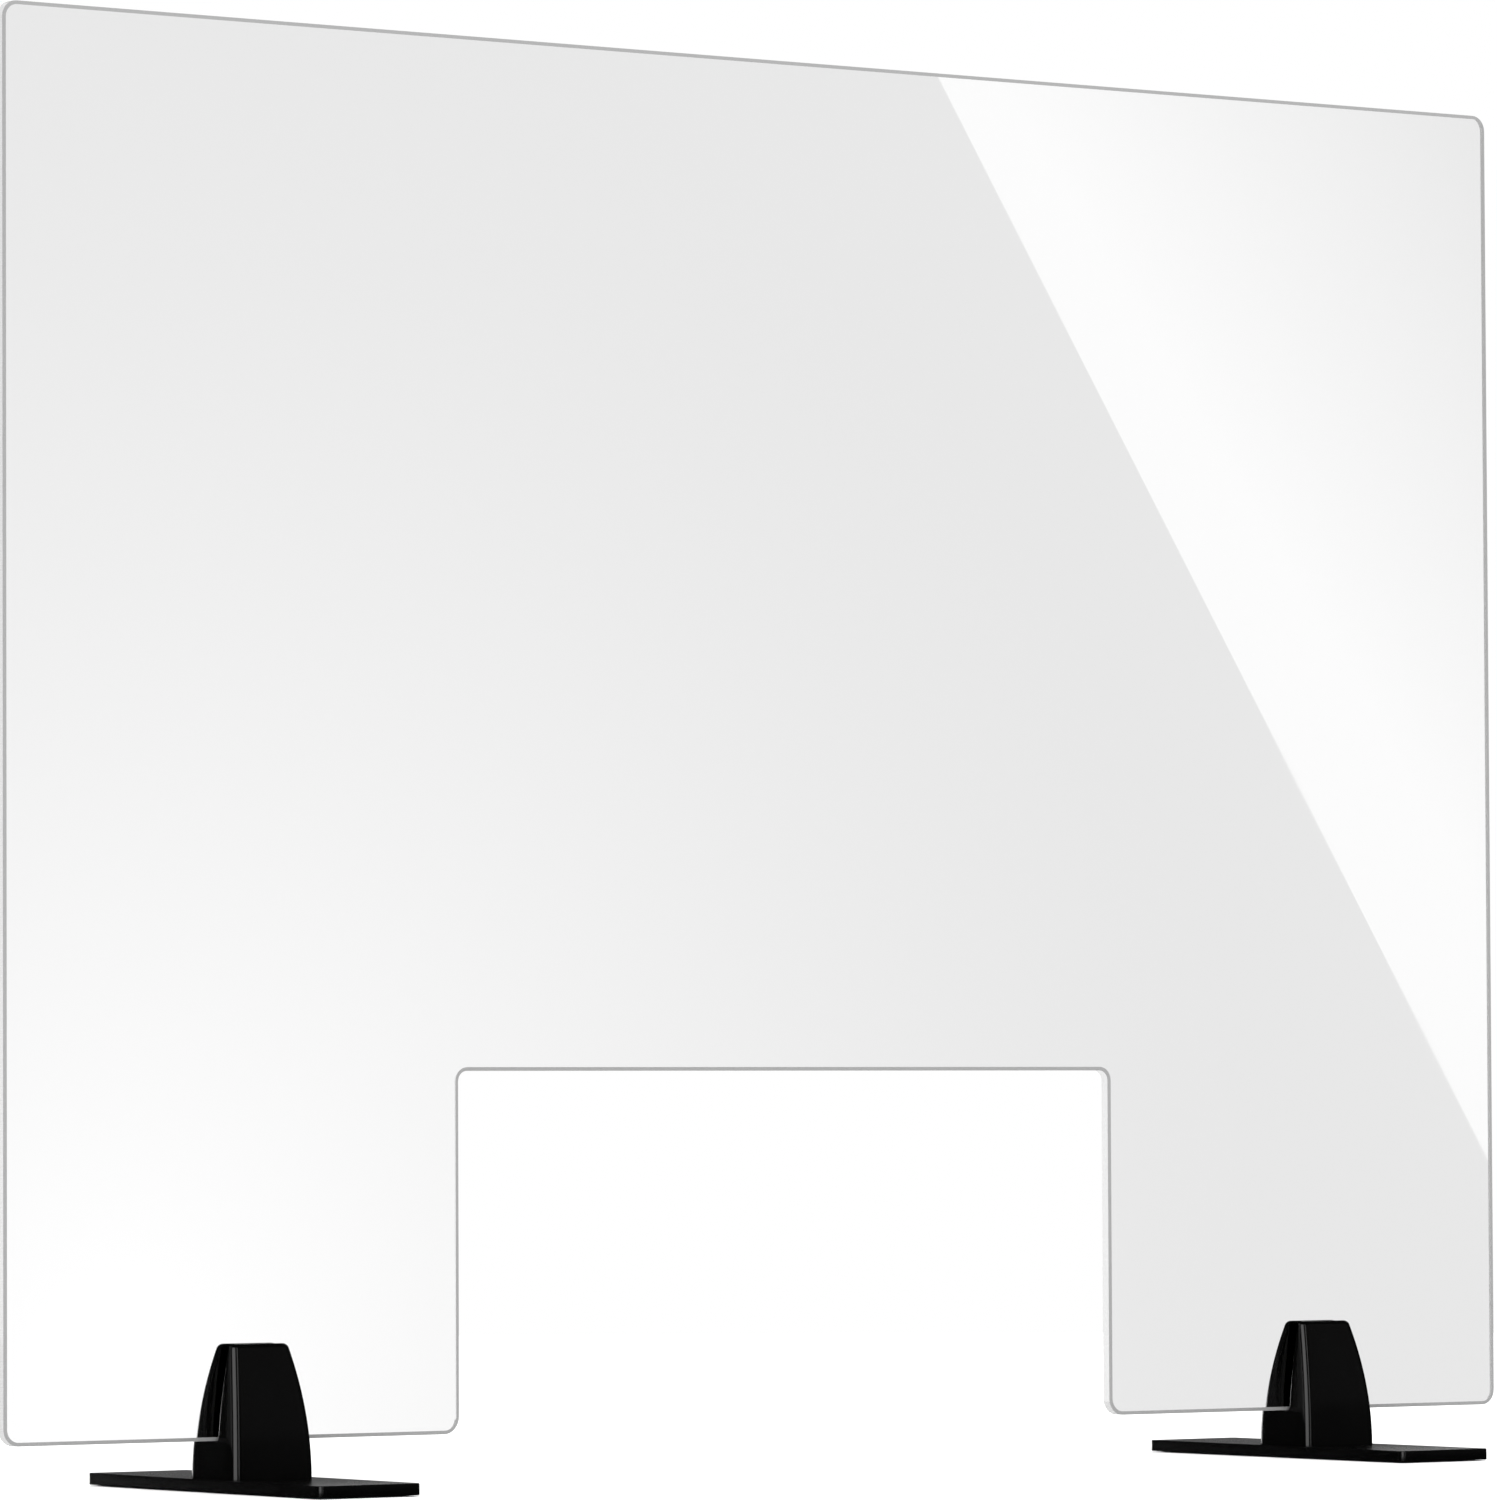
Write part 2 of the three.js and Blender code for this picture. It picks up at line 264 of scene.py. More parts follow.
def ringed(name, bottom, rings, top, x, y, material):
    """A solid round an upright line at x, y. It goes from a point at the height bottom, through rings that
    give the (radius, height) of each of their corners, to a point at the height top."""
    sides = len(rings[0])
    points = [(x, y, bottom)]
    for ring in rings:
        for angle, (radius, height) in zip(circle(sides), ring):
            points.append((x + radius * math.cos(angle), y + radius * math.sin(angle), height))
    points.append((x, y, top))
    last = len(points) - 1
    faces = []
    for i in range(sides):
        j = (i + 1) % sides
        faces.append((0, 1 + j, 1 + i))
        for low in range(1, last - sides, sides):
            high = low + sides
            faces.append((low + i, low + j, high + j, high + i))
        faces.append((last - sides + i, last - sides + j, last))
    return mesh_object(name, points, faces, [material])


def turned(name, profile, x, y, material):
    """A solid turned about an upright line at x, y, from (radius, height) points that start and end on it."""
    rings = [[corner] * ROUND_SEGMENTS for corner in profile[1:-1]]
    return ringed(name, profile[0][1], rings, profile[-1][1], x, y, material)


def combine(obj, tool, operation):
    """Joins or cuts obj with tool, which is used up."""
    modifier = obj.modifiers.new("combine", "BOOLEAN")
    modifier.object = tool
    modifier.operation = operation
    modifier.solver = "EXACT"
    shaped = bpy.data.meshes.new_from_object(obj.evaluated_get(bpy.context.evaluated_depsgraph_get()))
    obj.modifiers.clear()
    obj.data = shaped
    bpy.data.objects.remove(tool)
    return obj


# --- materials ---


def map_range(tree, value, start, end, low, high):
    """value, spread from low to high as it goes from start to end."""
    node = tree.nodes.new("ShaderNodeMapRange")
    node.inputs["From Min"].default_value = start
    node.inputs["From Max"].default_value = end
    node.inputs["To Min"].default_value = low
    node.inputs["To Max"].default_value = high
    tree.links.new(value, node.inputs["Value"])
    return node.outputs["Result"]


class Nodes:
    """A material with a Principled shader, and short calls for the nodes that shape it."""

    def __init__(self, name, **inputs):
        self.material = bpy.data.materials.new(name)
        self.material.use_nodes = True
        self.tree = self.material.node_tree
        self.shader = self.tree.nodes["Principled BSDF"]
        self.coordinates = self.tree.nodes.new("ShaderNodeTexCoord").outputs["Object"]
        for key, value in inputs.items():
            self.shader.inputs[key.replace("_", " ")].default_value = value

    def noise(self, scale, detail=2.0, stretch=(1, 1, 1)):
        mapping = self.tree.nodes.new("ShaderNodeMapping")
        mapping.inputs["Scale"].default_value = stretch
        texture = self.tree.nodes.new("ShaderNodeTexNoise")
        texture.inputs["Scale"].default_value = scale
        texture.inputs["Detail"].default_value = detail
        self.tree.links.new(self.coordinates, mapping.inputs["Vector"])
        self.tree.links.new(mapping.outputs["Vector"], texture.inputs["Vector"])
        return texture.outputs["Fac"]

    def ranged(self, value, low, high):
        """A noise value, whose middle part is spread from low to high."""
        return map_range(self.tree, value, 0.3, 0.7, low, high)

    def tinted(self, value, dark, light):
        node = self.tree.nodes.new("ShaderNodeValToRGB")
        node.color_ramp.elements[0].position = 0.3
        node.color_ramp.elements[0].color = (*dark, 1)
        node.color_ramp.elements[1].position = 0.7
        node.color_ramp.elements[1].color = (*light, 1)
        self.tree.links.new(value, node.inputs["Fac"])
        return node.outputs["Color"]

    def bump(self, height, strength, distance, before=None):
        node = self.tree.nodes.new("ShaderNodeBump")
        node.inputs["Strength"].default_value = strength
        node.inputs["Distance"].default_value = distance
        self.tree.links.new(height, node.inputs["Height"])
        if before is not None:
            self.tree.links.new(before, node.inputs["Normal"])
        return node.outputs["Normal"]

    def drive(self, socket, value):
        self.tree.links.new(value, self.shader.inputs[socket])


def clear_acrylic():
    """Cast acrylic, very slightly grey, with the faint unevenness of a wiped surface in its gloss."""
    nodes = Nodes(
        "clear_acrylic",
        Base_Color=(0.878, 0.878, 0.878, 1),
        IOR=1.49,
        Transmission_Weight=1.0,
    )
    nodes.drive("Roughness", nodes.ranged(nodes.noise(9, 4), 0.0, 0.02))
    return nodes.material


def acrylic_edge(name, grey, alpha):
    """The cut edge of the sheet: satin, with fine cutting lines that run straight through its thickness."""
    nodes = Nodes(name, IOR=1.49, Alpha=alpha)
    lines = nodes.noise(2600, 3, stretch=(1, 0.02, 1))
    light = min(1.0, grey * 1.08)
    nodes.drive("Base Color", nodes.tinted(lines, (grey * 0.92,) * 3, (light,) * 3))
    nodes.drive("Roughness", nodes.ranged(lines, 0.22, 0.38))
    nodes.drive("Normal", nodes.bump(lines, 0.15, 0.02 * MM))
    return nodes.material


def gloss_black_plastic():
    """Black plastic from a polished mould: glossy, with a trace of flow and fine texture."""
    nodes = Nodes("gloss_black_plastic", IOR=1.5)
    flow = nodes.noise(45, 3, stretch=(1, 1, 0.5))
    grain = nodes.noise(3800, 2)
    nodes.drive("Base Color", nodes.tinted(flow, (0.0006,) * 3, (0.0012,) * 3))
    nodes.drive("Roughness", nodes.ranged(flow, 0.11, 0.17))
    waves = nodes.bump(nodes.noise(260, 2), 0.12, 0.03 * MM)
    nodes.drive("Normal", nodes.bump(grain, 0.1, 0.004 * MM, before=waves))
    return nodes.material


def black_powder_coat():
    """Black powder coat on steel, glossy, with the orange peel that it flows out to."""
    nodes = Nodes("black_powder_coat", IOR=1.5)
    peel = nodes.noise(620, 2)
    grain = nodes.noise(4200, 2)
    nodes.drive("Base Color", nodes.tinted(nodes.noise(60, 3), (0.0004,) * 3, (0.0010,) * 3))
    nodes.drive("Roughness", nodes.ranged(grain, 0.17, 0.26))
    waves = nodes.bump(peel, 0.25, 0.03 * MM)
    nodes.drive("Normal", nodes.bump(grain, 0.2, 0.004 * MM, before=waves))
    return nodes.material


def zinced_steel():
    nodes = Nodes("zinced_steel", Metallic=1.0)
    patches = nodes.noise(700, 4)
    nodes.drive("Base Color", nodes.tinted(patches, (0.40, 0.41, 0.43), (0.62, 0.63, 0.64)))
    nodes.drive("Roughness", nodes.ranged(patches, 0.24, 0.42))
    nodes.drive("Normal", nodes.bump(nodes.noise(5200, 2), 0.2, 0.006 * MM))
    return nodes.material


def black_rubber():
    nodes = Nodes("black_rubber", IOR=1.5)
    grain = nodes.noise(2400, 4)
    nodes.drive("Base Color", nodes.tinted(nodes.noise(300, 3), (0.008,) * 3, (0.016,) * 3))
    nodes.drive("Roughness", nodes.ranged(grain, 0.72, 0.9))
    nodes.drive("Normal", nodes.bump(grain, 0.4, 0.03 * MM))
    return nodes.material


ACRYLIC = clear_acrylic()
SATIN_BEVEL = acrylic_edge("satin_bevel", 0.35, 1.0)
POLISHED_EDGE = acrylic_edge("polished_edge", 0.56, 0.6)
WINDOW_EDGE = acrylic_edge("window_edge", 0.92, 0.15)
GLOSS_BLACK = gloss_black_plastic()
POWDER_COAT = black_powder_coat()
ZINC = zinced_steel()
RUBBER = black_rubber()


# --- the sheet ---


def clear_sheet():
    """The sheet's front has a broad satin bevel all round. The rest of its edge is grey, and clearer in the
    window."""
    front, back = SHEET_LOW.y, SHEET_HIGH.y
    profile = [
        (FRONT_BEVEL[0], front),
        (0, front + FRONT_BEVEL[1]),
        (0, back - BACK_BEVEL[1]),
        (BACK_BEVEL[0], back),
    ]
    obj = slab(
        "clear_sheet",
        sheet_outline,
        profile,
        lambda a, b, depth: (a, depth, b),
        [ACRYLIC, SATIN_BEVEL, POLISHED_EDGE, WINDOW_EDGE],
        [0, 1, 2, 2, 0],
    )
    window_side = WINDOW_HALF_WIDTH + BACK_BEVEL[0]
    for face in obj.data.polygons:
        in_window = abs(face.center.x) < window_side and face.center.z < SHEET_HIGH.z - WINDOW_EDGE_MARGIN
        if face.material_index == 2 and in_window:
            face.material_index = 3
    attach(smooth(obj), "panel")
    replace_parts(obj, "acrylic_panel")


# --- the feet ---


def half_size(height):
    """Half the width and half the depth of the upright's outside at each height."""
    lean = 1 - (height / UPRIGHT_HEIGHT) ** 2
    return TOP_HALF_WIDTH + LEAN_WIDTH * lean, TOP_HALF_DEPTH + LEAN_DEPTH * lean


def slot_half_gap(height):
    part_way = np.clip((height - SLOT_FLOOR) / (UPRIGHT_HEIGHT - SLOT_FLOOR), 0, 1)
    return SLOT_FLOOR_HALF_GAP + (SLOT_MOUTH_HALF_GAP - SLOT_FLOOR_HALF_GAP) * part_way


def rounded_meet(a, b, radius):
    """Distance to where two solids overlap, from the distance to each, with the edge between them rounded."""
    corner = np.hypot(np.maximum(radius + a, 0), np.maximum(radius + b, 0))
    return np.minimum(-radius, np.maximum(a, b)) + corner


def upright_distance(p):
    """How far each point is outside the upright's rounded outer surface, negative inside. Its slot is part of
    that surface."""
    x, y, height = p[:, 0], p[:, 1], p[:, 2]
    half_x, half_y = half_size(height)
    qx = np.abs(x) - half_x + UPRIGHT_CORNER_R
    qy = np.abs(y) - half_y + UPRIGHT_CORNER_R
    past_corner = np.hypot(np.maximum(qx, 0), np.maximum(qy, 0))
    sides = past_corner + np.minimum(np.maximum(qx, qy), 0) - UPRIGHT_CORNER_R
    sides -= SEAM_HEIGHT * np.exp(-((y / SEAM_WIDTH) ** 2)) * (height < SLOT_FLOOR - SLOT_EDGE_R)
    above_floor = np.clip((height - SLOT_FLOOR) / SLOT_FACET_RISE, 0, 1)
    past_edge = (slot_half_gap(height) + SLOT_FACET_WIDTH - np.abs(y)) * above_floor
    facet = (np.abs(x) - half_x) * math.cos(SLOT_FACET_ANGLE) + past_edge * math.sin(SLOT_FACET_ANGLE)
    outside = rounded_meet(np.maximum(sides, facet), height - UPRIGHT_HEIGHT, UPRIGHT_TOP_R)
    slot = rounded_meet(np.abs(y) - slot_half_gap(height), SLOT_FLOOR - height, SLOT_ROOT_R)
    return rounded_meet(outside, -slot, SLOT_EDGE_R)


def settle(points, distance, rounds=12, step=0.01 * MM):
    """Moves points onto the surface where distance is zero."""
    for _ in range(rounds):
        slope = np.stack(
            [(distance(points + e) - distance(points - e)) / (2 * step) for e in np.eye(3) * step], axis=1
        )
        steepness = np.maximum((slope**2).sum(1), 0.05)
        points = points - slope * (distance(points) / steepness)[:, None]
    return points


def between(low, high, parts):
    return [low + (high - low) * part for part in parts]


WALL_PARTS = (0, 0.3, 0.55, 0.75, 0.9, 1)


def upright_lines_x(height):
    """The lattice's lines in x on one side of the middle, at one height."""
    half = half_size(height)[0]
    wall = half - WALL
    rib_in, rib_out = GRIP_RIB_SIDES
    return [
        0,
        rib_in / 2,
        rib_in,
        rib_out,
        *between(rib_out, wall, (0.5, 0.8)),
        *between(wall, half, WALL_PARTS),
    ]


def upright_lines_y(height):
    """The lattice's lines in y, in the same way."""
    half = half_size(height)[1]
    gap = float(slot_half_gap(height))
    lead = np.clip((height - GRIP_TOP) / (GRIP_LEAD_TOP - GRIP_TOP), 0, 1)
    grip = GRIP_HALF_GAP + (gap - GRIP_HALF_GAP) * lead
    thick = min(WALL, 0.45 * (half - gap))
    lining, wall = gap + thick, half - thick
    return [
        0,
        SEAM_WIDTH / 2,
        SEAM_WIDTH,
        2 * SEAM_WIDTH,
        WEB_HALF_THICKNESS,
        GRIP_HALF_GAP / 2,
        grip,
        *between(grip, gap, (0.5,)),
        *between(gap, lining, (0, 0.15, 0.31, 1)),
        *between(lining, wall, (0.45, 0.85)),
        *between(wall, half, WALL_PARTS),
    ]


# Where the ribs, the web, the slot, its lining, the walls and the outside are in the two lists of lines.
X_RIB_IN, X_RIB_OUT, X_WALL, X_OUT = 2, 3, 6, 11
Y_WEB, Y_GRIP, Y_GAP, Y_LINING, Y_WALL, Y_OUT = 4, 6, 8, 11, 14, 19


def upright_heights():
    """The heights of the lattice's layers, which are closest together at the slot's floor and at the top."""
    below = [0, 1, WEB_BOTTOM / MM, 6, 9, 11.5, 13.5, 14.6, 15.3, 15.7]
    slot = [16, 16.3, 16.7, 17.4, 19, 22, 25.5, 29, 32.5, 36, 38.5, 41, 43, 45, 47, 49, 51, 52.6]
    top = [53.7, 54.3, 54.8, 55.2, 55.6, 55.9, 56.15, 56.35, 56.5]
    return [height * MM for height in below + slot + top]


def upright_is_solid(i, j, height):
    """Whether the lattice's cell i, j from the middle is solid at a height."""
    if height > SLOT_FLOOR and j < Y_GAP:
        return X_RIB_IN <= i < X_RIB_OUT and j >= Y_GRIP and height < GRIP_LEAD_TOP
    within_walls = i < X_WALL and j < Y_WALL and height < CAVITY_HEIGHT
    lining = height > SLOT_FLOOR - WALL and j < Y_LINING
    web = j < Y_WEB and height > WEB_BOTTOM
    return not within_walls or lining or web


def upright(name, centre_x, plate_top, body):
    """A hollow moulding with a slot across its top, made from a lattice whose outer corners are moved onto
    its rounded surface. Inside it stand two bosses with pilot holes."""
    heights = upright_heights()
    layers = [(height, upright_lines_x(height), upright_lines_y(height)) for height in heights]
    index = {}
    points = []
    settled = set()

    def corner(i, j, k):
        key = (i, j, k)
        if key not in index:
            height, xs, ys = layers[k]
            index[key] = len(points)
            points.append((math.copysign(xs[abs(i)], i), math.copysign(ys[abs(j)], j), height))
        return index[key]

    def solid(i, j, k):
        if not (-X_OUT <= i < X_OUT and -Y_OUT <= j < Y_OUT and 0 <= k < len(heights) - 1):
            return False
        middle = (heights[k] + heights[k + 1]) / 2
        return upright_is_solid(i if i >= 0 else -1 - i, j if j >= 0 else -1 - j, middle)

    def is_outer(i, j, k, axis):
        """Whether a face of the lattice between a solid cell and an empty one shows on the outer surface."""
        height = (heights[k] + heights[min(k + 1, len(heights) - 1)]) / 2
        if axis == 0:
            return abs(i) == X_OUT
        if axis == 1:
            return abs(j) == Y_OUT or (abs(j) == Y_GAP and height > SLOT_FLOOR)
        return k == len(heights) - 1 or heights[k] == SLOT_FLOOR

    faces = []
    for k in range(len(heights) - 1):
        for i in range(-X_OUT, X_OUT):
            for j in range(-Y_OUT, Y_OUT):
                if not solid(i, j, k):
                    continue
                for axis, side in ((0, 0), (0, 1), (1, 0), (1, 1), (2, 0), (2, 1)):
                    beside = [i, j, k]
                    beside[axis] += 1 if side else -1
                    if solid(*beside):
                        continue
                    at = [i, j, k]
                    at[axis] += side
                    u, v = [(1, 2), (2, 0), (0, 1)][axis]
                    ring = []
                    for du, dv in ((0, 0), (1, 0), (1, 1), (0, 1)):
                        spot = list(at)
                        spot[u] += du
                        spot[v] += dv
                        ring.append(corner(*spot))
                    faces.append(tuple(ring if side else reversed(ring)))
                    if is_outer(*at, axis):
                        settled.update(ring)

    placed = np.array(points)
    outer = np.array(sorted(settled))
    placed[outer] = settle(placed[outer], upright_distance)
    placed[:, 2] = np.clip(placed[:, 2], 0, UPRIGHT_HEIGHT)
    placed += np.array([centre_x, 0, plate_top])
    obj = mesh_object(name, placed, faces, [GLOSS_BLACK])
    tidy = bmesh.new()
    tidy.from_mesh(obj.data)
    bmesh.ops.remove_doubles(tidy, verts=tidy.verts, dist=0.003 * MM)
    bmesh.ops.recalc_face_normals(tidy, faces=tidy.faces)
    tidy.to_mesh(obj.data)
    tidy.free()
    boss_top = plate_top + SLOT_FLOOR - WALL / 2
    pilot_top = plate_top - PLATE_THICKNESS + SCREW_SINK + SCREW_LENGTH + CLEARANCE
    pilot_r = SCREW_THREAD_R + CLEARANCE
    boss = [(0, plate_top), (BOSS_R, plate_top), (BOSS_R, boss_top), (0, boss_top)]
    pilot = [(0, 0), (pilot_r, 0), (pilot_r, pilot_top), (0, pilot_top)]
    for x in screw_places(centre_x).values():
        combine(obj, turned("boss", boss, x, 0, GLOSS_BLACK), "UNION")
        combine(obj, turned("pilot", pilot, x, 0, GLOSS_BLACK), "DIFFERENCE")
    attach(smooth(obj), body)
    return obj


def screw_places(centre_x):
    """Where the outer and the inner screw stand in x. Outer is away from the middle of the sheet."""
    outward = math.copysign(SCREW_SPACING / 2, centre_x)
    return {"outer": centre_x + outward, "inner": centre_x - outward}


def pad_places(low, high):
    """Where each pad sits in x and y under a plate, front being -Y."""
    centre_x = (low.x + high.x) / 2
    across = math.copysign((high.x - low.x) / 2 - PAD_INSET, centre_x)
    return {
        f"{end}_{side}": (centre_x + sign * across, y)
        for end, y in (("front", low.y + PAD_INSET), ("rear", high.y - PAD_INSET))
        for side, sign in (("outer", 1), ("inner", -1))
    }


def base_plate(name, low, high, body):
    """A flat plate with rounded edges, two countersunk holes and a recess for each pad underneath."""
    half_x, half_y = (high.x - low.x) / 2, (high.y - low.y) / 2
    centre_x = (high.x + low.x) / 2
    edge = [
        (PLATE_EDGE_R * (1 - math.sin(t)), PLATE_EDGE_R * (1 - math.cos(t)))
        for t in (math.pi / 2 * i / PLATE_EDGE_SEGMENTS for i in range(PLATE_EDGE_SEGMENTS + 1))
    ]
    profile = [(inset, high.z - depth) for inset, depth in edge]
    profile += [(inset, low.z + depth) for inset, depth in reversed(edge)]
    obj = slab(
        name,
        lambda inset: rounded_rectangle(half_x, half_y, PLATE_CORNER_R, inset),
        profile,
        lambda a, b, depth: (centre_x + a, b, depth),
        [POWDER_COAT],
        [0] * (len(profile) + 1),
    )
    hole_r = SCREW_THREAD_R + CLEARANCE
    sink_r = SCREW_HEAD_R + CLEARANCE
    sink_bottom = low.z + SCREW_SINK
    sink_top = sink_bottom + SCREW_HEAD_HEIGHT
    above = 2 * high.z
    hole = [(0, 0), (sink_r, 0), (sink_r, sink_bottom), (hole_r, sink_top), (hole_r, above), (0, above)]
    for x in screw_places(centre_x).values():
        combine(obj, turned("hole", hole, x, 0, POWDER_COAT), "DIFFERENCE")
    recess_r = PAD_R + CLEARANCE
    recess = [(0, -low.z), (recess_r, -low.z), (recess_r, PAD_THICKNESS), (0, PAD_THICKNESS)]
    for x, y in pad_places(low, high).values():
        combine(obj, turned("recess", recess, x, y, POWDER_COAT), "DIFFERENCE")
    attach(smooth(obj), body)
    return obj


def cross_cutter(x, head):
    """The cross recess, pressed up into a head from below. Each bar of the cross is shorter at its top."""
    bars = []
    for along_x in (True, False):
        points = []
        for height, part in ((head - DRIVE_DEPTH, DRIVE_FLARE), (head + DRIVE_DEPTH, DRIVE_TAPER)):
            a, b = DRIVE_HALF_SPAN * part, DRIVE_HALF_WIDTH
            if not along_x:
                a, b = b, a
            points += [(x - a, -b, height), (x + a, -b, height), (x + a, b, height), (x - a, b, height)]
        sides = [(i, (i + 1) % 4, 4 + (i + 1) % 4, 4 + i) for i in range(4)]
        bars.append(mesh_object("drive", points, [(3, 2, 1, 0), (4, 5, 6, 7), *sides], [ZINC]))
    return combine(bars[0], bars[1], "UNION")


def screw(name, x, plate_bottom, body):
    """A countersunk thread-forming screw, head down, with a helical thread up to its pointed end."""
    head = plate_bottom + SCREW_SINK
    neck = head + SCREW_HEAD_HEIGHT
    point = head + SCREW_LENGTH
    step = SCREW_PITCH / THREAD_STEPS
    smooth_part = [
        (SCREW_HEAD_R - SCREW_RIM / 2, head),
        (SCREW_HEAD_R, head + SCREW_RIM / 2),
        (SCREW_HEAD_R, head + SCREW_RIM),
        (SCREW_SHANK_R, neck),
    ]
    rings = [[corner] * SCREW_SIDES for corner in smooth_part]
    height = neck + step
    while height < point - step:
        taper = min(1, (point - height) / SCREW_TIP_LENGTH)
        grow = min(1, (height - neck) / SCREW_PITCH)
        ring = []
        for i in range(SCREW_SIDES):
            phase = ((height - neck) / SCREW_PITCH - i / SCREW_SIDES) % 1
            ridge = max(0, 1 - abs(phase - 0.5) / 0.25)
            ring.append(((SCREW_SHANK_R + (SCREW_THREAD_R - SCREW_SHANK_R) * ridge * grow) * taper, height))
        rings.append(ring)
        height += step
    obj = ringed(name, head, rings, point, x, 0, ZINC)
    combine(obj, cross_cutter(x, head), "DIFFERENCE")
    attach(smooth(obj), body)
    return obj


def anti_slip_pad(name, x, y, body):
    """A rubber disc with a rounded rim and ring grooves in its sole."""
    profile = [(0, 0)]
    deep = PAD_GROOVE_HALF_WIDTH * PAD_GROOVE_FLOOR
    for radius in PAD_GROOVES:
        profile += [
            (radius - PAD_GROOVE_HALF_WIDTH, 0),
            (radius - deep, PAD_GROOVE_DEPTH),
            (radius + deep, PAD_GROOVE_DEPTH),
            (radius + PAD_GROOVE_HALF_WIDTH, 0),
        ]
    profile += arc(PAD_R - PAD_EDGE_R, PAD_EDGE_R, PAD_EDGE_R, -90, 0, 4)
    profile += [(PAD_R, PAD_THICKNESS), (0, PAD_THICKNESS)]
    obj = turned(name, profile, x, y, RUBBER)
    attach(smooth(obj), body)
    return obj


def build_foot(side, body):
    plate_low, plate_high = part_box(f"{side}_base_plate")
    plate = base_plate(f"{side}_plate", plate_low, plate_high, body)
    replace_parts(plate, f"{side}_base_plate")
    centre_x = (plate_low.x + plate_high.x) / 2
    tower = upright(f"{side}_slotted_upright", centre_x, plate_high.z, body)
    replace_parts(tower, f"{side}_upright")
    for place, x in screw_places(centre_x).items():
        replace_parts(screw(f"{side}_{place}_screw", x, plate_low.z, body), f"{side}_screw_{place}")
    for place, (x, y) in pad_places(plate_low, plate_high).items():
        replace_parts(anti_slip_pad(f"{side}_{place}_pad", x, y, body), f"{side}_pad_{place}")


# --- the studio ---


def camera():
    data = bpy.data.cameras.new("camera")
    data.lens = CAMERA_LENS
    obj = bpy.data.objects.new("camera", data)
    turn = Matrix.Rotation(CAMERA_YAW, 3, "Z") @ Matrix.Rotation(math.pi / 2 + CAMERA_PITCH, 3, "X")
    turn = turn @ Matrix.Rotation(CAMERA_ROLL, 3, "Z")
    obj.matrix_world = Matrix.Translation(CAMERA_PLACE) @ turn.to_4x4()
    bpy.context.scene.collection.objects.link(obj)
    bpy.context.scene.camera = obj


def emission(name):
    material = bpy.data.materials.new(name)
    material.use_nodes = True
    tree = material.node_tree
    tree.nodes.clear()
    shader = tree.nodes.new("ShaderNodeEmission")
    output = tree.nodes.new("ShaderNodeOutputMaterial")
    tree.links.new(shader.outputs["Emission"], output.inputs["Surface"])
    material.cycles.emission_sampling = "NONE"
    return material, tree, shader


def hide_from(obj, *rays):
    for ray in rays:
        setattr(obj, f"visible_{ray}", False)


def seen_through_only(obj):
    """Keeps a card out of everything but the view through the sheet."""
    hide_from(obj, "camera", "diffuse", "glossy", "volume_scatter", "shadow")


def behind(x, height, card_y=CARD_Y):
    """The point of a card's plane that the camera sees through the sheet at x and a height. It is right for
    the photo's camera only."""
    reach = (card_y - CAMERA_PLACE.y) / -CAMERA_PLACE.y
    return Vector((
        CAMERA_PLACE.x + reach * (x - CAMERA_PLACE.x),
        card_y,
        CAMERA_PLACE.z + reach * (height - CAMERA_PLACE.z),
    ))


def math_node(tree, operation, value, other):
    node = tree.nodes.new("ShaderNodeMath")
    node.operation = operation
    tree.links.new(value, node.inputs[0])
    node.inputs[1].default_value = other
    return node.outputs["Value"]


def painted_glow_card():
    """Painted light: a soft round glow low on the left of the sheet, on a card that only the view through
    the sheet sees. It fades out into the white around it.
    """
    centre = behind(GLOW_CENTRE[0], SHEET_LOW.z + GLOW_CENTRE[1], GLOW_CARD_Y)
    radius = (behind(GLOW_RADIUS, 0, GLOW_CARD_Y) - behind(0, 0, GLOW_CARD_Y)).x
    material, tree, shader = emission("painted_glow_card")
    coordinates = tree.nodes.new("ShaderNodeTexCoord")
    away = tree.nodes.new("ShaderNodeVectorMath")
    away.operation = "DISTANCE"
    away.inputs[1].default_value = centre
    tree.links.new(coordinates.outputs["Object"], away.inputs[0])
    # Painted light: brightest at the centre, fading to plain white at the rim.
    inward = map_range(tree, away.outputs["Value"], 0, radius, 1, 0)
    faded = math_node(tree, "POWER", inward, GLOW_FADE)
    glow = math_node(tree, "MULTIPLY", faded, PAINTED_GLOW_TONE / SHEET_TONE)
    tree.links.new(math_node(tree, "ADD", glow, 1), shader.inputs["Strength"])
    ring = [
        (centre.x + radius * math.cos(t), GLOW_CARD_Y, centre.z + radius * math.sin(t))
        for t in circle(GLOW_SIDES)
    ]
    seen_through_only(mesh_object("painted_glow_card", ring, [tuple(range(GLOW_SIDES))], [material]))


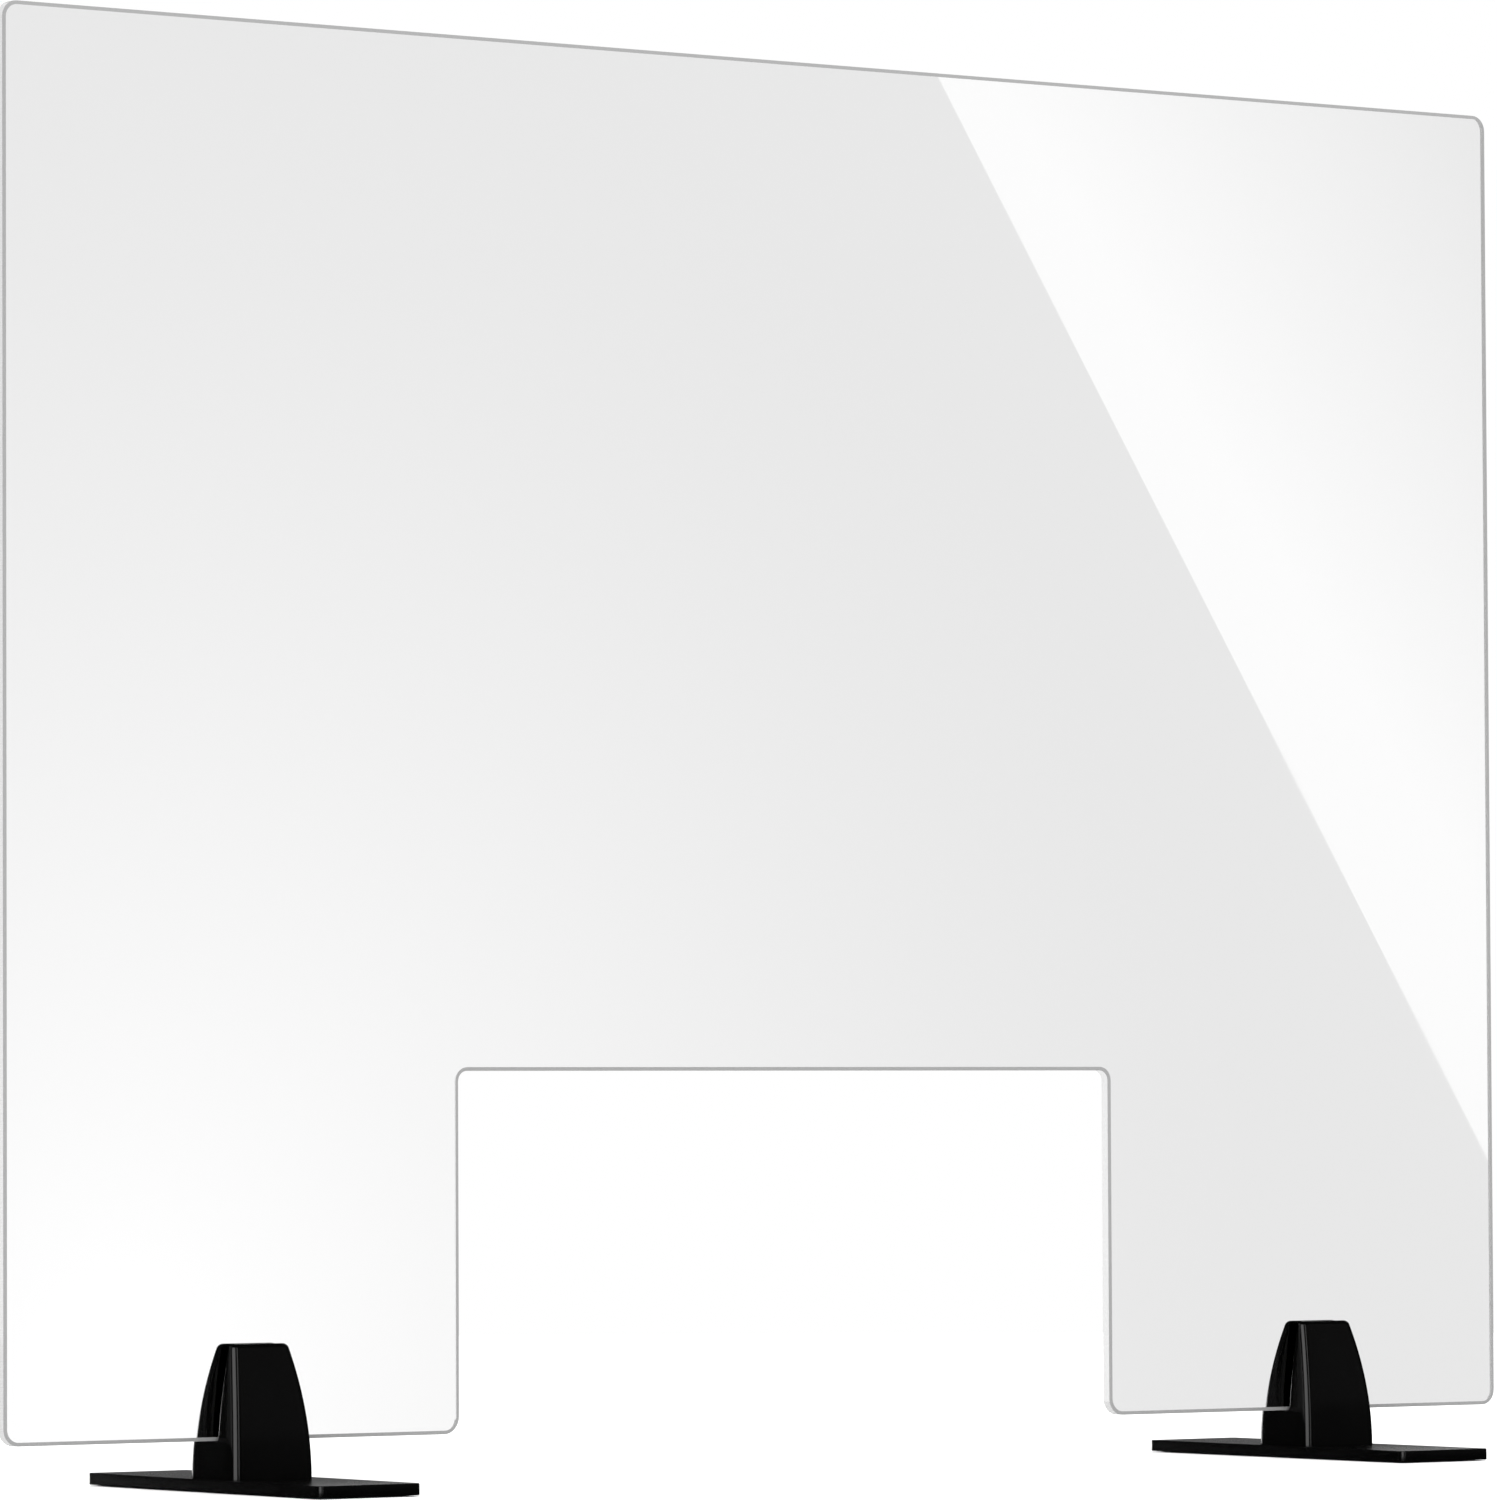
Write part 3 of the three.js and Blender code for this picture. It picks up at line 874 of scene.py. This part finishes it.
def painted_light_card():
    """Painted light: a broad glowing card beyond the sheet's right that only the view through the sheet
    sees, whose straight side is the slanting line across the sheet.
    """
    low, high = SHEET_LOW.z, SHEET_HIGH.z
    upper_x, upper_z = SLANT_TOP[0], low + SLANT_TOP[1]
    lower_x, lower_z = SLANT_BOTTOM[0], low + SLANT_BOTTOM[1]
    slope = (lower_x - upper_x) / (lower_z - upper_z)
    top, bottom = high + WINDOW_CARD_ABOVE, low - WINDOW_CARD_BELOW
    outline = [
        behind(upper_x + slope * (bottom - upper_z), bottom),
        behind(WINDOW_CARD_RIGHT, bottom),
        behind(WINDOW_CARD_RIGHT, top),
        behind(upper_x + slope * (top - upper_z), top),
    ]
    reach = (behind(1, 0) - behind(0, 0)).x
    material, tree, shader = emission("painted_light_card")
    coordinates = tree.nodes.new("ShaderNodeTexCoord")
    offset = tree.nodes.new("ShaderNodeVectorMath")
    offset.operation = "SUBTRACT"
    offset.inputs[1].default_value = behind(WINDOW_FADE_PLACE[0], low + WINDOW_FADE_PLACE[1])
    spread = tree.nodes.new("ShaderNodeVectorMath")
    spread.operation = "DOT_PRODUCT"
    spread.inputs[1].default_value = (WINDOW_FADE_WAY[0] / reach, 0, WINDOW_FADE_WAY[1] / reach)
    tree.links.new(coordinates.outputs["Object"], offset.inputs[0])
    tree.links.new(offset.outputs["Vector"], spread.inputs[0])
    # Painted light: the card's brightness ramps up from plain white across the fade span.
    level = map_range(tree, spread.outputs["Value"], *WINDOW_FADE_SPAN, 1, 1 + PAINTED_LIGHT_TONE / SHEET_TONE)
    tree.links.new(level, shader.inputs["Strength"])
    seen_through_only(mesh_object("painted_light_card", outline, [(0, 1, 2, 3)], [material]))


def softbox(name, turn_from, turn_to, rise_from, rise_to, strength, through_sheet=False):
    """A curved card that only reflections see, between two bearings and two rises in degrees. A bearing is
    from -Y towards -X. through_sheet lets a reflection that passes through the sheet see it as well, and
    keeps it as white as the world in the plain view through the sheet."""
    material, tree, shader = emission(name)
    shader.inputs["Strength"].default_value = strength
    if through_sheet:
        path = tree.nodes.new("ShaderNodeLightPath")
        level = map_range(tree, path.outputs["Glossy Depth"], 0, 1, 1, strength)
        tree.links.new(level, shader.inputs["Strength"])
    points = []
    for row in range(SOFTBOX_ROWS + 1):
        rise = math.radians(rise_from + (rise_to - rise_from) * row / SOFTBOX_ROWS)
        for column in range(SOFTBOX_COLUMNS + 1):
            turn = math.radians(turn_from + (turn_to - turn_from) * column / SOFTBOX_COLUMNS)
            points.append((
                -SOFTBOX_DISTANCE * math.sin(turn) * math.cos(rise),
                -SOFTBOX_DISTANCE * math.cos(turn) * math.cos(rise),
                SOFTBOX_DISTANCE * math.sin(rise),
            ))
    width = SOFTBOX_COLUMNS + 1
    corners = [row * width + column for row in range(SOFTBOX_ROWS) for column in range(SOFTBOX_COLUMNS)]
    faces = [(corner, corner + 1, corner + width + 1, corner + width) for corner in corners]
    card = mesh_object(name, points, faces, [material])
    hide_from(card, "camera", "diffuse", "volume_scatter", "shadow")
    card.visible_transmission = through_sheet


def world():
    """White all round for what the camera sees and for soft light, and dim in reflections."""
    scene_world = bpy.data.worlds.new("studio")
    scene_world.use_nodes = True
    tree = scene_world.node_tree
    tree.nodes.clear()
    path = tree.nodes.new("ShaderNodeLightPath")
    mix = tree.nodes.new("ShaderNodeMix")
    mix.data_type = "RGBA"
    mix.inputs[6].default_value = (1, 1, 1, 1)
    mix.inputs[7].default_value = (DIM_LEVEL, DIM_LEVEL, DIM_LEVEL, 1)
    tree.links.new(path.outputs["Glossy Depth"], mix.inputs[0])
    background = tree.nodes.new("ShaderNodeBackground")
    tree.links.new(mix.outputs[2], background.inputs["Color"])
    output = tree.nodes.new("ShaderNodeOutputWorld")
    tree.links.new(background.outputs["Background"], output.inputs["Surface"])
    bpy.context.scene.world = scene_world


def floor():
    ring = [(FLOOR_RADIUS * math.cos(t), FLOOR_RADIUS * math.sin(t), 0) for t in circle(FLOOR_SIDES)]
    nodes = Nodes("pale_floor", Roughness=0.9, Specular_IOR_Level=0.0)
    nodes.drive("Base Color", nodes.tinted(nodes.noise(3, 2), (0.93,) * 3, (0.95,) * 3))
    obj = mesh_object("floor", ring, [tuple(range(FLOOR_SIDES))], [nodes.material])
    hide_from(obj, "glossy", "transmission")


def overhead_light():
    data = bpy.data.lights.new("overhead_light", "AREA")
    data.size = OVERHEAD_SIZE
    data.energy = OVERHEAD_POWER
    obj = bpy.data.objects.new("overhead_light", data)
    obj.location = (0, 0, OVERHEAD_HEIGHT)
    hide_from(obj, "glossy", "camera", "transmission")
    bpy.context.scene.collection.objects.link(obj)


camera()
bpy.context.scene.view_settings.view_transform = "Standard"
clear_sheet()
build_foot("left", "left_foot")
build_foot("right", "right_foot")
world()
floor()
overhead_light()
painted_glow_card()
painted_light_card()
softbox("left_softbox", 37, 80, -4, 60, 2.2)
softbox("front_strip", 6, 15, -4, 60, 1.7)
softbox("slot_strip", 164, 194, -8, 3, 3.5, through_sheet=True)
softbox("back_softbox", 200, 235, 0.5, 8, 0.25)
softbox("front_fill_low", -60, -12, -2, 9, 0.045)
softbox("front_fill", -60, -12, 9, 45, 0.08)
